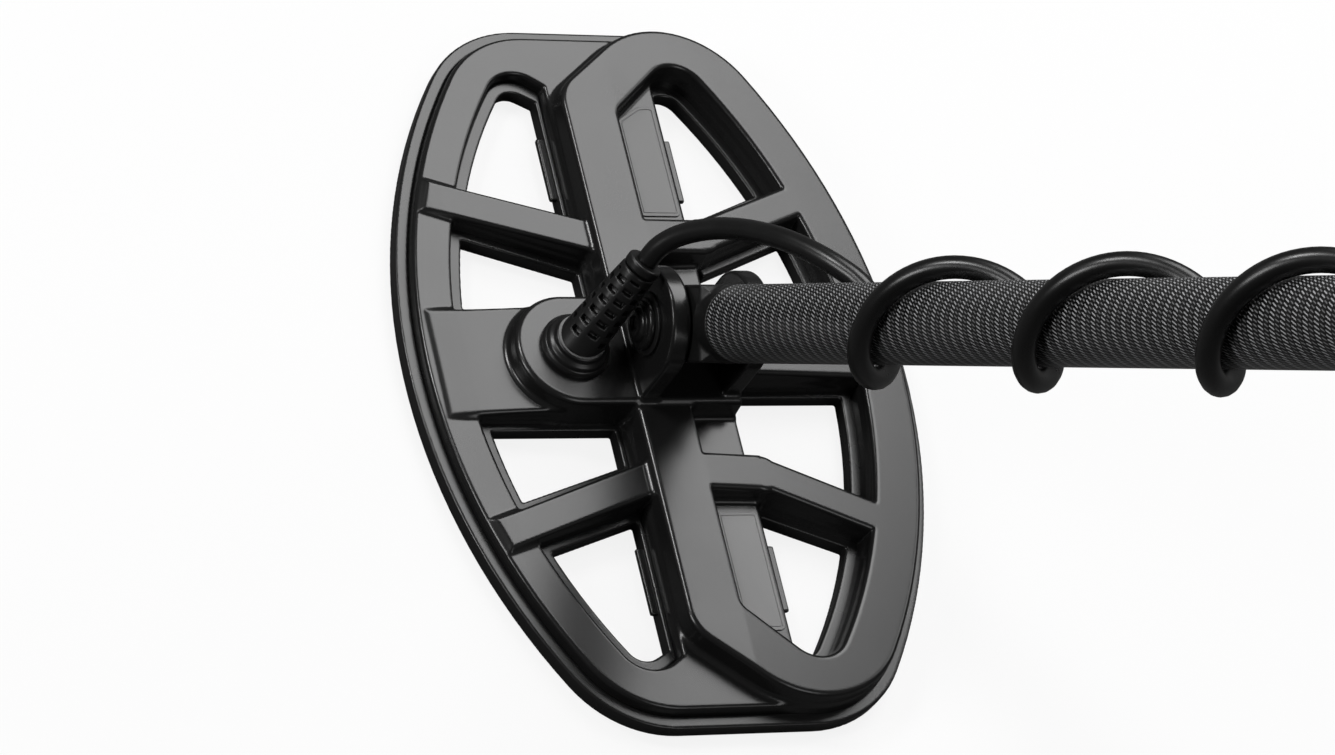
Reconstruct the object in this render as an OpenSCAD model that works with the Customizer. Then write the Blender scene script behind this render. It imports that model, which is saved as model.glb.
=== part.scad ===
// Double-D search coil of a metal detector, on its lower shaft.
// X points to the toe of the coil, Y to the gland side, Z up, away from the ground.
// The origin is the centre of the skid's underside.

/* [Coil outline] */
// Length of the skid, toe to heel
coil_l = 222; // [200:1:280]
// Width of the skid
coil_w = 154.8; // [140:0.1:190]
// Length of the straight edge across the toe and the heel
end_flat = 40.9; // [30:0.1:60]
// Radius of the four corners
corner_r = 34.4; // [28:0.1:38]

/* [Skid cover] */
// Floor thickness of the skid
skid_t = 1.8; // [1.2:0.1:3]
// Height of the skid's rim
skid_h = 5.4; // [4.5:0.1:6.5]
// Width of the rim's ledge outside the housing
skid_ledge = 4.2; // [3:0.1:6]
// Width of the ledge along the middle spine
spine_ledge = 2; // [1:0.1:3]
// Gap between the skid and the housing in it
skid_gap = 0.2; // [0.1:0.05:0.4]

/* [Housings] */
// Height of the lower D's top face
lower_top = 9; // [8.2:0.1:10]
// Height of the raised D's top face at the middle
raised_top = 16.2; // [15:0.1:18]
// Height of the raised D's top face at its outer edge
raised_edge = 11.8; // [11.5:0.1:14]
// Height of the lower D's bars beside the hub
bar_top = 15; // [13:0.1:16]
// Width of the lower D's ring along its sides
lower_ring_w = 11.1; // [10:0.1:14]
// Width of the raised D's ring along its sides
raised_ring_w = 14.7; // [13:0.1:17]
// Width of both rings at the toe and the heel
end_ring_w = 12.4; // [11:0.1:14]
// Half the width of the spine where the two rings overlap
spine_half = 17.2; // [16.8:0.1:20]
// Where the raised D's straight leg ends, on the gland side
leg_outer = 16.3; // [15.5:0.1:16.8]
// Where the raised D's straight leg ends, inside its windows
leg_inner = -0.5; // [-2:0.1:1]
// Half the width of the spokes
spoke_half = 4.9; // [4:0.1:6]
// Half the width of the wide bar under the gland
gland_bar_half = 16.5; // [15:0.1:18]
// Half the width of the narrow bar opposite it
far_bar_half = 6.5; // [5:0.1:8]
// Least wall over the windings
wall = 1.2; // [1:0.1:1.3]
// Thickness of the base plate
base_t = 1; // [0.8:0.1:1.2]

/* [Windings] */
// Width of a winding's bundle of wire
winding_w = 6; // [4:0.1:7]
// Gap around a winding in its channel
winding_gap = 0.1; // [0.1:0.05:0.3]

/* [Hub] */
// Height of the hub's top face
hub_top = 17.3; // [16.8:0.1:19]
// Half the width of the hub
hub_r = 17; // [16.5:0.1:18.5]
// Centre of the hub's round end, and of the gland
gland_y = 32.2; // [30:0.1:36]
// Height of the pivot above the ground
pivot_z = 31; // [30:0.1:34]
// Radius of the two ears
ear_r = 16; // [14:0.1:18]
// Thickness of each ear
ear_t = 5.8; // [4.5:0.1:7]
// Gap between the ears
ear_gap = 19.8; // [19:0.1:24]
// Diameter of the pivot bolt
bolt_d = 8; // [6:0.1:10]
// Radial clearance of the bolt in its holes
bolt_clear = 0.05; // [0.02:0.01:0.1]

/* [Gland] */
// Radius of the gland's foot
gland_r = 10; // [9:0.1:12]
// Length of the strain relief
boot_l = 30.6; // [24:0.1:40]
// Radius of the strain relief where it leaves the gland
boot_r = 6.8; // [6:0.1:8]
// Radius of its collar
boot_tip_r = 5.2; // [4.2:0.1:6]
// Lean of the strain relief
boot_lean = 30; // [15:1:40]
// Direction that it leans in
boot_turn = -49; // [-70:1:-30]
// Diameter of the cable
cable_d = 6.1; // [5:0.1:7]

/* [Shaft] */
// Lean of the shaft from upright
shaft_lean = 29.7; // [0:0.1:60]
// Outside diameter of the carbon tube
tube_d = 21.5; // [19:0.1:24]
// Wall of the carbon tube
tube_wall = 1.5; // [1:0.1:2]
// Distance from the pivot to the tube's near end
tube_start = 25.5; // [24:0.5:32]
// Distance from the pivot to the tube's free end
tube_end = 515; // [500:1:560]
// Length of the yoke's spigot in the tube
spigot_l = 34; // [25:1:50]
// Gap between the yoke and each ear
yoke_gap = 0.5; // [0.3:0.1:0.8]
// Length of the free end, up to its mark
free_l = 40; // [30:1:60]
// Radius of the snap button
button_r = 3.4; // [2.5:0.1:4]
// How far the snap button stands out of the tube
button_out = 3.8; // [2.5:0.1:4.5]

/* [Connector] */
// Radius of the connector's shell
plug_r = 6.8; // [6:0.1:8]
// Radius of the connector's lock ring
ring_r = 8; // [7.5:0.1:9]
// Width of the strap that holds it
strap_w = 12; // [8:0.5:16]

/* [Hidden] */
$fn = 96;

// Coil outline: two long side arcs, four corner arcs and two straight ends
half_l = coil_l / 2;
corner_x = half_l - corner_r;
corner_y = end_flat / 2;
rise = corner_y - coil_w / 2;
side_r = (pow(corner_r, 2) - pow(corner_x, 2) - pow(rise, 2)) / (2 * (rise + corner_r));
side_y = coil_w / 2 - side_r;
far = coil_l;

// Inside corners of the windows, and the heels where a straight leg turns into a ring
window_r = 10;
window_heel_r = 4;
window_heel_x = 77;
raised_heel_r = 12;
raised_heel_x = 80;
channel_heel_x = 72;

// Spokes: where their centre lines start at the spine and end at the ring
spoke_in = [38.9, 18];
spoke_out = [53.4, 62.7];
raised_spoke_in = [37.4, 0];
raised_spoke_bend = [37.9, -18.2];
raised_spoke_out = [50.9, -50.2];
gland_bar_end = 70.2;
bar_chamfer = 6;

// Middle of a D's leg, measured from the spine's middle
leg_y = (leg_outer - leg_inner) / 2 - 0.5;

// Levels
base_z = skid_t;
lower_z = skid_t + base_t;
tx_top = lower_z + 3;
rx_floor = tx_top + wall;
rx_roof = raised_edge - wall - 0.2;

// Hub and pivot
hub_back = ear_gap / 2 + ear_t + 0.4;
ear_in = ear_gap / 2;
ear_out = ear_in + ear_t;
bolt_r = bolt_d / 2;
hole_r = bolt_r + bolt_clear;
washer_t = 1.4;
washer_r = 8.5;
head_r = 7.3;
head_h = 1.7;
head_cap_r = 4.4;
head_cap_h = 1.5;
steel_washer_r = 8.9;
steel_washer_t = 0.9;
nut_r = 7.3;
nut_h = 6.5;

// Gland: the strain relief starts inside it
gland_h = 2.4;
gland_step_h = 1.4;
gland_neck_r = 7.6;
boot_z = 21;
gland_foot = [0, gland_y, boot_z];

// Along the shaft, measured from the pivot
tube_r = tube_d / 2;
bore_r = tube_r - tube_wall;
cable_r = cable_d / 2;
wrap_r = tube_r + cable_r + 0.45;
wrap_pitch = 84;
wrap_at = 123;
wrap_from = 228;
wrap_to = -1020;
wrap_step = 20;
wrap_loose = 2.2;
stow_from = 361;
stow_l = 44;
stow_to = stow_from + stow_l;
plug_off = tube_r + ring_r + 0.4;
plug_from = stow_to + 16;
plug_l = 24;
tail_gap = 0.5;
ring_l = 9;
button_at = tube_end - free_l - 12;
mark_w = 1.2;
mark_d = 0.25;

// Cable from the strain relief over the ears to the shaft, when the shaft leans at rest
arch_route = [
    [10.1, 20.5, 47.8], [11.6, 18.8, 52.2], [12, 16, 57], [10.8, 12.8, 62.4], [8.5, 9.6, 68],
    [5.2, 6.6, 73.6], [1.2, 3.8, 79], [-3.4, 1.2, 84.2], [-8.4, -1.6, 88.8],
    [-13.6, -4.6, 92.6], [-18.6, -7.6, 95.5], [-23.2, -10.5, 97.4]
];

// ---------- helpers ----------

function unit(v) = v / norm(v);
function along(p, i) = unit(p[min(i + 1, len(p) - 1)] - p[max(i - 1, 0)]);
function ring_at(c, t, ref, r, n) =
    let (a = unit(cross(ref, t)), b = cross(t, a))
    [for (k = [0:n - 1]) c + r * (cos(360 * k / n) * a + sin(360 * k / n) * b)];

// A round tube along a list of points. ref is a direction that the route never runs in.
module cord(route, r, ref, sides = 8) {
    rings = len(route);
    points = [for (i = [0:rings - 1]) each ring_at(route[i], along(route, i), ref, r, sides)];
    walls = [
        for (i = [0:rings - 2], k = [0:sides - 1])
            let (n = (k + 1) % sides)
            each [[i * sides + k, (i + 1) * sides + k, (i + 1) * sides + n],
                  [i * sides + k, (i + 1) * sides + n, i * sides + n]]
    ];
    first = [for (k = [0:sides - 1]) k];
    last = [for (k = [sides - 1:-1:0]) (rings - 1) * sides + k];
    polyhedron(points = points, faces = concat([first], walls, [last]), convexity = 10);
}

// Places its children on the shaft: Z runs along it from the pivot
module on_shaft() {
    translate([0, 0, pivot_z]) rotate([0, -shaft_lean, 0]) children();
}

// A bar between two points, seen from above
module band(p, q, half) {
    side = unit([p.y - q.y, q.x - p.x]) * half;
    polygon([p + side, p - side, q - side, q + side]);
}

function arc(c, r, from, to, step = 5) =
    let (n = max(1, ceil(abs(to - from) / step)))
    [for (i = [0:n]) let (a = from + (to - from) * i / n) c + r * [cos(a), sin(a)]];
function flip_x(points) = [for (i = [len(points) - 1:-1:0]) [-points[i].x, points[i].y]];
function flip_y(points) = [for (i = [len(points) - 1:-1:0]) [points[i].x, -points[i].y]];

// Where the outer tangent of two circles touches them, as an angle: to the left of p to q
function tangent_angle(p, rp, q, rq) =
    atan2(q.y - p.y, q.x - p.x) + acos((rp - rq) / norm(q - p));

// Two circles joined by their outer tangents
module capsule(p, rp, q, rq) {
    run = atan2(q.y - p.y, q.x - p.x);
    open = tangent_angle(p, rp, q, rq) - run;
    polygon(concat(arc(p, rp, run + open, run + 360 - open), arc(q, rq, run - open, run + open)));
}

// Copies its children at both ends of the coil
module both_ends() {
    children();
    mirror([1, 0, 0]) children();
}

// ---------- the coil seen from above ----------

// The oval outline, drawn in by inset
module oval(inset) {
    turn = atan2(corner_y - side_y, corner_x);
    half = concat(arc([corner_x, corner_y], corner_r - inset, 0, turn),
                  arc([0, side_y], side_r - inset, turn, 90, 2));
    top = concat(half, flip_x(half));
    polygon(concat(top, flip_y(top)));
}

// A D: a long side arc, two rounded ends that reach x_end, and a straight leg
module d_shape(inset, x_end, end_r, leg, heel_x, heel_r) {
    end_x = x_end - end_r;
    end_y = side_y + sqrt(pow(side_r - inset - end_r, 2) - pow(end_x, 2));
    heel = [heel_x, leg + heel_r];
    touch = tangent_angle([end_x, end_y], end_r, heel, heel_r);
    turn = atan2(end_y - side_y, end_x);
    half = concat(arc(heel, heel_r, -90, touch), arc([end_x, end_y], end_r, touch, turn),
                  arc([0, side_y], side_r - inset, turn, 90, 2));
    polygon(concat(half, flip_x(half)));
}

module lower_spokes(grow) {
    both_ends() band(spoke_in - [3.3, 10], spoke_out, spoke_half + grow);
}

module raised_spokes(grow) {
    both_ends() {
        band(raised_spoke_in, raised_spoke_bend, spoke_half + 0.7 + grow);
        band(raised_spoke_bend - [0.4, -1], raised_spoke_out, spoke_half + grow);
    }
}

// The open middle of a D, each edge drawn in by grow
module d_window(ring_w, leg, grow) {
    d_shape(skid_ledge + ring_w + grow, half_l - skid_ledge - end_ring_w - grow,
            window_r - grow, leg + grow, window_heel_x, window_heel_r);
}

// The four windows of the lower D
module lower_windows(grow) {
    edge = spine_half + min(grow, spine_ledge);
    difference() {
        d_window(lower_ring_w, -leg_inner, grow);
        lower_spokes(grow * 0.8);
        translate([-gland_bar_half - grow * 0.7, 0])
            square([2 * (gland_bar_half + grow * 0.7), coil_w]);
        translate([-far, edge - far]) square([2 * far, far]);
    }
}

// The four windows of the raised D
module raised_windows(grow) {
    difference() {
        mirror([0, 1]) d_window(raised_ring_w, -leg_inner, grow);
        raised_spokes(grow * 0.8);
        translate([-far_bar_half - grow * 0.7, -coil_w])
            square([2 * (far_bar_half + grow * 0.7), coil_w]);
    }
}

// Footprint of the coil: 0 for the housing, the ledge for the skid
module footprint(grow) {
    edge = spine_half + min(grow, spine_ledge);
    difference() {
        oval(skid_ledge - grow);
        lower_windows(grow);
        difference() {
            raised_windows(grow);
            translate([-far, -edge]) square([2 * far, far]);
        }
    }
}

module raised_outline() {
    mirror([0, 1]) d_shape(skid_ledge, half_l - skid_ledge, corner_r - skid_ledge, -leg_outer,
                           raised_heel_x, raised_heel_r);
}

module raised_footprint() {
    difference() {
        raised_outline();
        raised_windows(0);
    }
}

// A channel down the middle of a D's ring and leg
module channel(ring_w, wide) {
    module edge(out) {
        inset = skid_ledge + ring_w / 2 - out;
        x_end = half_l - skid_ledge - end_ring_w / 2 + out;
        d_shape(inset, x_end, corner_r - skid_ledge - ring_w / 2 + out, -leg_y - out,
                channel_heel_x, window_heel_r + wide / 2 + out);
    }
    difference() {
        edge(wide / 2);
        edge(-wide / 2);
    }
}

module lower_channel(grow) {
    channel(lower_ring_w, winding_w + 2 * grow);
}

module raised_channel(grow) {
    mirror([0, 1]) channel(raised_ring_w, winding_w + 2 * grow);
}

// ---------- skid and housings ----------

module skid_cover() color([0.05, 0.05, 0.055]) {
    difference() {
        linear_extrude(skid_h) footprint(skid_ledge);
        translate([0, 0, skid_t]) linear_extrude(skid_h) footprint(skid_gap);
    }
}

module base_plate() color([0.1, 0.1, 0.11])
    translate([0, 0, base_z]) linear_extrude(base_t) footprint(0);

module lower_housing() color([0.06, 0.06, 0.065]) {
    difference() {
        translate([0, 0, lower_z]) linear_extrude(lower_top - lower_z) footprint(0);
        translate([0, 0, lower_z - 1]) linear_extrude(tx_top - lower_z + 1)
            lower_channel(winding_gap);
        translate([0, 0, rx_floor]) linear_extrude(far) raised_channel(winding_gap);
    }
}

// Side view of the raised D's roof: level over the leg, then falling to the outer edge
module raised_roof() {
    edge_y = -coil_w / 2 + skid_ledge;
    rotate([90, 0, 90]) linear_extrude(coil_l, center = true)
        polygon([[edge_y - 1, lower_top], [edge_y - 1, raised_edge], [0, raised_top],
                 [leg_outer + 1, raised_top], [leg_outer + 1, lower_top]]);
}

module raised_housing() color([0.06, 0.06, 0.065]) {
    difference() {
        intersection() {
            translate([0, 0, lower_top]) linear_extrude(raised_top) raised_footprint();
            raised_roof();
        }
        translate([0, 0, lower_top - 1]) linear_extrude(rx_roof - lower_top + 1)
            raised_channel(winding_gap);
        translate([0, 0, lower_top - 1]) linear_extrude(far) hub_outline(hub_r + skid_gap);
    }
}

// The spokes and the wide bar that lie on the lower D's ring
module lower_bars() color([0.06, 0.06, 0.065]) {
    fall = (bar_top - lower_top - 0.6) / gland_bar_end;
    difference() {
        intersection() {
            translate([0, 0, lower_top]) linear_extrude(bar_top) {
                lower_spokes(0);
                translate([-gland_bar_half, 0]) square([2 * gland_bar_half, gland_bar_end]);
            }
            rotate([90, 0, 90]) linear_extrude(coil_l, center = true)
                polygon([[leg_outer + 0.1, lower_top],
                         [leg_outer + 0.1, bar_top - fall * leg_outer],
                         [gland_bar_end - bar_chamfer, bar_top - fall * (gland_bar_end - bar_chamfer)],
                         [gland_bar_end, lower_top]]);
        }
        translate([0, 0, lower_top - 1]) linear_extrude(far) hub_outline(hub_r + skid_gap);
    }
}

module transmit_winding() color([0.72, 0.42, 0.2])
    translate([0, 0, lower_z]) linear_extrude(tx_top - lower_z - winding_gap) lower_channel(0);

module receive_winding() color([0.75, 0.46, 0.22])
    translate([0, 0, rx_floor]) linear_extrude(rx_roof - rx_floor - winding_gap)
        raised_channel(0);

// ---------- hub ----------

module hub_outline(r) {
    translate([0, gland_y]) circle(r);
    back = hub_back + r - hub_r;
    translate([-r, -back]) square([2 * r, gland_y + back]);
}

board_l = 38;
board_w = 22;
board_y = 24;
board_z = rx_roof + 0.4;
board_t = 1.6;
board_pocket_top = 15.2;

module ear() {
    rotate([90, 0, 0]) linear_extrude(ear_t) {
        translate([0, pivot_z]) circle(ear_r);
        translate([-ear_r, hub_top - 1]) square([2 * ear_r, pivot_z - hub_top + 1]);
    }
}

module pivot_bracket() color([0.055, 0.055, 0.06]) {
    difference() {
        union() {
            translate([0, 0, lower_top]) linear_extrude(hub_top - lower_top)
                hub_outline(hub_r);
            translate([0, ear_out, 0]) ear();
            translate([0, -ear_in, 0]) ear();
        }
        translate([0, 0, pivot_z]) rotate([90, 0, 0])
            cylinder(r = hole_r, h = far, center = true);
        translate([-board_w / 2 - 0.3, board_y - board_l / 2 - 0.3, lower_top - 1])
            cube([board_w + 0.6, board_l + 0.6, board_pocket_top - lower_top + 1]);
        translate([0, 0, lower_top - 1]) linear_extrude(rx_roof - lower_top + 1)
            raised_channel(winding_gap);
    }
}

module preamp_board() color([0.06, 0.25, 0.14])
    translate([-board_w / 2, board_y - board_l / 2, board_z]) cube([board_w, board_l, board_t]);

module board_parts() color([0.15, 0.15, 0.16]) translate([0, board_y, board_z + board_t]) {
    for (y = [-14, -4, 6])
        translate([-5, y, 0]) cube([7, 6, 1.6]);
    for (y = [-12, -6, 0, 6, 12])
        translate([5.5, y, 0]) cube([3.2, 1.8, 1.2]);
    for (x = [-8, 8])
        translate([x, 15, 0]) cylinder(r = 1.6, h = 2.2, $fn = 24);
}

label_in = 47.5;
label_l = 36.5;
label_t = 0.4;
label_w = 12.5;
label_y = -3.2;

module label_plate() {
    translate([label_in, label_y - label_w, lower_top]) linear_extrude(label_t) {
        square([label_l - label_w / 2, label_w]);
        translate([label_l - label_w / 2, label_w / 2]) circle(label_w / 2);
    }
}

module front_label_plate() color([0.2, 0.2, 0.21]) label_plate();
module rear_label_plate() color([0.35, 0.35, 0.36]) mirror([1, 0, 0]) label_plate();

// ---------- gland and strain relief ----------

// Places its children on the strain relief: Z runs along it from inside the gland
module on_boot() {
    translate(gland_foot) rotate([0, boot_lean, boot_turn]) children();
}

module cable_gland() color([0.05, 0.05, 0.055]) {
    difference() {
        translate([0, gland_y, hub_top]) {
            cylinder(r = gland_r, h = gland_h);
            cylinder(r1 = gland_r - 0.8, r2 = gland_neck_r, h = gland_h + gland_step_h);
            cylinder(r = gland_neck_r, h = boot_z - hub_top + 2.5);
        }
        on_boot() cylinder(r = boot_r, h = 20);
    }
}

ribs = 7;
rib_pitch = (boot_l - 6) / ribs;

module strain_relief() color([0.045, 0.045, 0.05]) on_boot() {
    fall = (boot_r - boot_tip_r) / (boot_l - 3);
    cylinder(r = boot_r, h = 3);
    translate([0, 0, 2.9]) cylinder(r1 = boot_r - 1.3, r2 = boot_tip_r - 1, h = boot_l - 3);
    for (i = [1:ribs]) {
        z = i * rib_pitch;
        translate([0, 0, z]) cylinder(r1 = boot_r - fall * z, r2 = boot_r - fall * z - 0.3,
                                      h = rib_pitch * 0.55);
    }
    translate([0, 0, boot_l - 2.6]) cylinder(r = boot_tip_r, h = 2.6);
}

// ---------- pivot hardware ----------

module at_pivot() {
    translate([0, 0, pivot_z]) rotate([-90, 0, 0]) children();
}

module friction_washers() color([0.03, 0.03, 0.03])
    for (y = [ear_in - washer_t, -ear_in])
        at_pivot() translate([0, 0, y]) difference() {
            cylinder(r = washer_r, h = washer_t);
            translate([0, 0, -1]) cylinder(r = hole_r, h = washer_t + 2);
        }

module bolt_washers() color([0.07, 0.07, 0.075])
    for (y = [ear_out, -ear_out - steel_washer_t])
        at_pivot() translate([0, 0, y]) difference() {
            cylinder(r = steel_washer_r, h = steel_washer_t);
            translate([0, 0, -1]) cylinder(r = hole_r, h = steel_washer_t + 2);
        }

bolt_tail = ear_out + steel_washer_t + nut_h + 1.2;

module pivot_bolt() color([0.06, 0.06, 0.065]) at_pivot() {
    head_at = ear_out + steel_washer_t;
    translate([0, 0, -bolt_tail]) cylinder(r = bolt_r, h = bolt_tail + head_at + 1);
    translate([0, 0, head_at]) cylinder(r = head_r, h = head_h);
    translate([0, 0, head_at + head_h]) cylinder(r1 = head_cap_r + 0.6, r2 = head_cap_r - 0.6,
                                                 h = head_cap_h);
}

module pivot_nut() color([0.06, 0.06, 0.065]) at_pivot()
    translate([0, 0, -ear_out - steel_washer_t - 0.3 - nut_h]) difference() {
        union() {
            cylinder(r = nut_r, h = nut_h, $fn = 6);
            translate([0, 0, nut_h - 1.2]) cylinder(r = nut_r + 0.6, h = 1.2);
        }
        translate([0, 0, -1]) cylinder(r = hole_r, h = nut_h + 2);
    }

// ---------- shaft ----------

yoke_half = ear_in - yoke_gap;
yoke_r = 10.7;
recess = yoke_half - (ear_in - washer_t) + 0.3;

module yoke() color([0.055, 0.055, 0.06]) on_shaft() difference() {
    union() {
        rotate([90, 0, 0]) cylinder(r = yoke_r, h = 2 * yoke_half, center = true);
        translate([-yoke_r, -yoke_half, 0]) cube([2 * yoke_r, 2 * yoke_half, tube_start - 3]);
        translate([0, 0, tube_start - 6]) cylinder(r = tube_r, h = 6);
        translate([0, 0, tube_start - 1]) cylinder(r = bore_r - 0.05, h = spigot_l + 1);
    }
    rotate([90, 0, 0]) cylinder(r = hole_r, h = far, center = true);
    for (turn = [90, -90])
        rotate([turn, 0, 0]) translate([0, 0, yoke_half - recess])
            cylinder(r = washer_r + 0.4, h = far);
}

module carbon_tube() color([0.09, 0.09, 0.1]) on_shaft() difference() {
    translate([0, 0, tube_start]) cylinder(r = tube_r, h = tube_end - tube_start);
    translate([0, 0, tube_start - 1]) cylinder(r = bore_r, h = tube_end);
    translate([0, 0, tube_end - free_l - mark_w]) difference() {
        cylinder(r = tube_r + 1, h = mark_w);
        translate([0, 0, -1]) cylinder(r = tube_r - mark_d, h = mark_w + 2);
    }
    translate([0, 0, button_at]) rotate([0, 90, 0]) cylinder(r = button_r + 0.2, h = far);
}

module tube_plug() color([0.05, 0.05, 0.055]) on_shaft() {
    translate([0, 0, tube_end]) cylinder(r = tube_r - 0.4, h = 1.6);
    translate([0, 0, tube_end - 12]) cylinder(r = bore_r - 0.05, h = 12.5);
}

module snap_button() color([0.7, 0.71, 0.73]) on_shaft() translate([0, 0, button_at]) {
    rotate([0, 90, 0]) cylinder(r = button_r, h = tube_r + button_out - 0.8);
    translate([tube_r + button_out - 0.8, 0, 0]) rotate([0, 90, 0])
        cylinder(r1 = button_r, r2 = button_r - 0.8, h = 0.8);
}

// A leaf bent into a V, with its far arm against the tube's other side
module button_spring() color([0.62, 0.63, 0.66]) on_shaft() translate([0, 0, button_at]) {
    leaf = 0.5;
    root = -34;
    rotate([90, 0, 0]) linear_extrude(7, center = true)
        polygon([[-0.1, 4], [-leaf, 4], [-leaf, -4], [-bore_r / 2, root], [-bore_r / 2, root - 2],
                 [-bore_r + 1.4, root + 2], [-bore_r + 1.1, 4], [-bore_r + 0.9, 4],
                 [-bore_r + 0.9, root - 4], [-bore_r / 2 + leaf, root - 4], [-0.1, -4]]);
}

// ---------- cable ----------

function wrap_s(turn) = wrap_at - turn * wrap_pitch / 360;
function wrap_radius(turn) = wrap_r + wrap_loose * pow(max(0, (turn - wrap_from + 90) / 90), 2);
wrap_route = [
    for (turn = [wrap_from:-wrap_step:wrap_to])
        [-wrap_radius(turn) * sin(turn), wrap_radius(turn) * cos(turn), wrap_s(turn)]
];
tail_route = [
    for (i = [0:5])
        let (u = i / 5, ease = u * u * (3 - 2 * u))
        [-(wrap_r + (plug_off - wrap_r) * ease), 0,
         stow_to + tail_gap + (plug_from - stow_to - 2 * tail_gap) * u]
];

module cable_arch() color([0.03, 0.03, 0.03]) cord(arch_route, cable_r, [0, 1, 0]);

module cable_wraps() color([0.03, 0.03, 0.03]) on_shaft() cord(wrap_route, cable_r, [0, 0, 1]);

module cable_stow() color([0.03, 0.03, 0.03]) on_shaft() translate([0, 0, stow_from])
    difference() {
        cylinder(r = wrap_r + cable_r, h = stow_l);
        translate([0, 0, -1]) cylinder(r = tube_r + 0.3, h = stow_l + 2);
    }

module cable_tail() color([0.03, 0.03, 0.03]) on_shaft() cord(tail_route, cable_r, [0, 1, 0]);

// ---------- connector ----------

// Places its children on the connector, which lies along the underside of the shaft
module on_plug() {
    on_shaft() translate([-plug_off, 0, plug_from]) children();
}

pin_count = 5;
insert_l = 6;

module connector_shell() color([0.06, 0.06, 0.065]) on_plug() difference() {
    union() {
        cylinder(r1 = cable_r + 1.2, r2 = plug_r, h = 5);
        translate([0, 0, 5]) cylinder(r = plug_r, h = plug_l - 5 - ring_l);
        translate([0, 0, 5]) cylinder(r = plug_r - 1, h = plug_l - 5);
    }
    translate([0, 0, plug_l - insert_l - 4]) cylinder(r = plug_r - 2, h = far);
}

module connector_insert() color([0.12, 0.12, 0.13]) on_plug()
    translate([0, 0, plug_l - insert_l - 4]) difference() {
        cylinder(r = plug_r - 2, h = 4);
        for (k = [0:pin_count - 1])
            rotate([0, 0, 360 * k / pin_count]) translate([2.6, 0, -1]) cylinder(r = 0.5, h = 6);
    }

module connector_pins() color([0.8, 0.65, 0.3]) on_plug()
    for (k = [0:pin_count - 1])
        rotate([0, 0, 360 * k / pin_count])
            translate([2.6, 0, plug_l - insert_l - 4]) cylinder(r = 0.5, h = 8, $fn = 24);

module connector_ring() color([0.07, 0.07, 0.075]) on_plug()
    translate([0, 0, plug_l - ring_l + 0.3]) difference() {
        cylinder(r = ring_r, h = ring_l);
        translate([0, 0, -1]) cylinder(r = plug_r - 1 + 0.08, h = ring_l + 2);
        for (k = [0:23])
            rotate([0, 0, 15 * k]) translate([ring_r + 0.25, 0, -1])
                cylinder(r = 0.6, h = ring_l + 2, $fn = 16);
    }

module connector_strap() color([0.05, 0.05, 0.05]) on_shaft()
    translate([0, 0, plug_from + 5.6]) linear_extrude(strap_w * 0.7) difference() {
        capsule([0, 0], tube_r + 1.3, [-plug_off, 0], plug_r + 1.3);
        capsule([0, 0], tube_r + 0.2, [-plug_off, 0], plug_r + 0.2);
    }

skid_cover();
base_plate();
lower_housing();
raised_housing();
lower_bars();
transmit_winding();
receive_winding();
pivot_bracket();
preamp_board();
board_parts();
front_label_plate();
rear_label_plate();
cable_gland();
strain_relief();
friction_washers();
pivot_bolt();
bolt_washers();
pivot_nut();
cable_arch();
yoke();
carbon_tube();
cable_wraps();
cable_stow();
cable_tail();
tube_plug();
snap_button();
button_spring();
connector_shell();
connector_insert();
connector_pins();
connector_ring();
connector_strap();
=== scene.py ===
# %% [markdown]
# # Search coil of a metal detector, on its lower shaft
# The search coil is the oval that is swept over the ground. Two D-shaped rings overlap along its
# middle: the lower one sends, the raised one listens. A shaft of woven carbon is hinged on its hub,
# and a cable climbs out of the hub, over the hinge, and winds up the shaft to a connector.
# Every size is in millimetres inside the helpers, and is turned into metres once, when a mesh is made.

# %% Load the frame
import math

import bmesh
import bpy
import numpy as np
from mathutils import Matrix, Vector


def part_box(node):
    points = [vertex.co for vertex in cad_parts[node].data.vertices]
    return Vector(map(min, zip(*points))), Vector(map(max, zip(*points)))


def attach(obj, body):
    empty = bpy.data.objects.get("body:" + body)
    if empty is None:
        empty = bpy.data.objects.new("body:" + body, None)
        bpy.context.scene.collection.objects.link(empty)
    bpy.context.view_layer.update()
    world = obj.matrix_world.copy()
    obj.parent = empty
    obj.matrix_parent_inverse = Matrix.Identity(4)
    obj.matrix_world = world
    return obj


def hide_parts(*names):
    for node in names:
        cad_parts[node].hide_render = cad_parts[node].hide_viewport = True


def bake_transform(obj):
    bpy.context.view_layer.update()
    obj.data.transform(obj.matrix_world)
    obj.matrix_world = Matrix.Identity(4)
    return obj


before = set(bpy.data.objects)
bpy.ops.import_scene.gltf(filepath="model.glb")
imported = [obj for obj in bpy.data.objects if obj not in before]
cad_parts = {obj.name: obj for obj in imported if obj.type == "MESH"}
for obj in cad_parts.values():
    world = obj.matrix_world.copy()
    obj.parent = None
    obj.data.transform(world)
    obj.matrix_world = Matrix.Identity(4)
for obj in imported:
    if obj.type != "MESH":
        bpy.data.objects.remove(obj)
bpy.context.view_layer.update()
MM = 0.001

# %% [markdown]
# ## Camera
# The camera stands high on the gland side and looks down past the hub, with a long lens, so that the
# far edge of the coil is hardly smaller than the near one. A camera looks along its own -Z, so its
# three axes are written as the columns of a rotation matrix.

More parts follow.
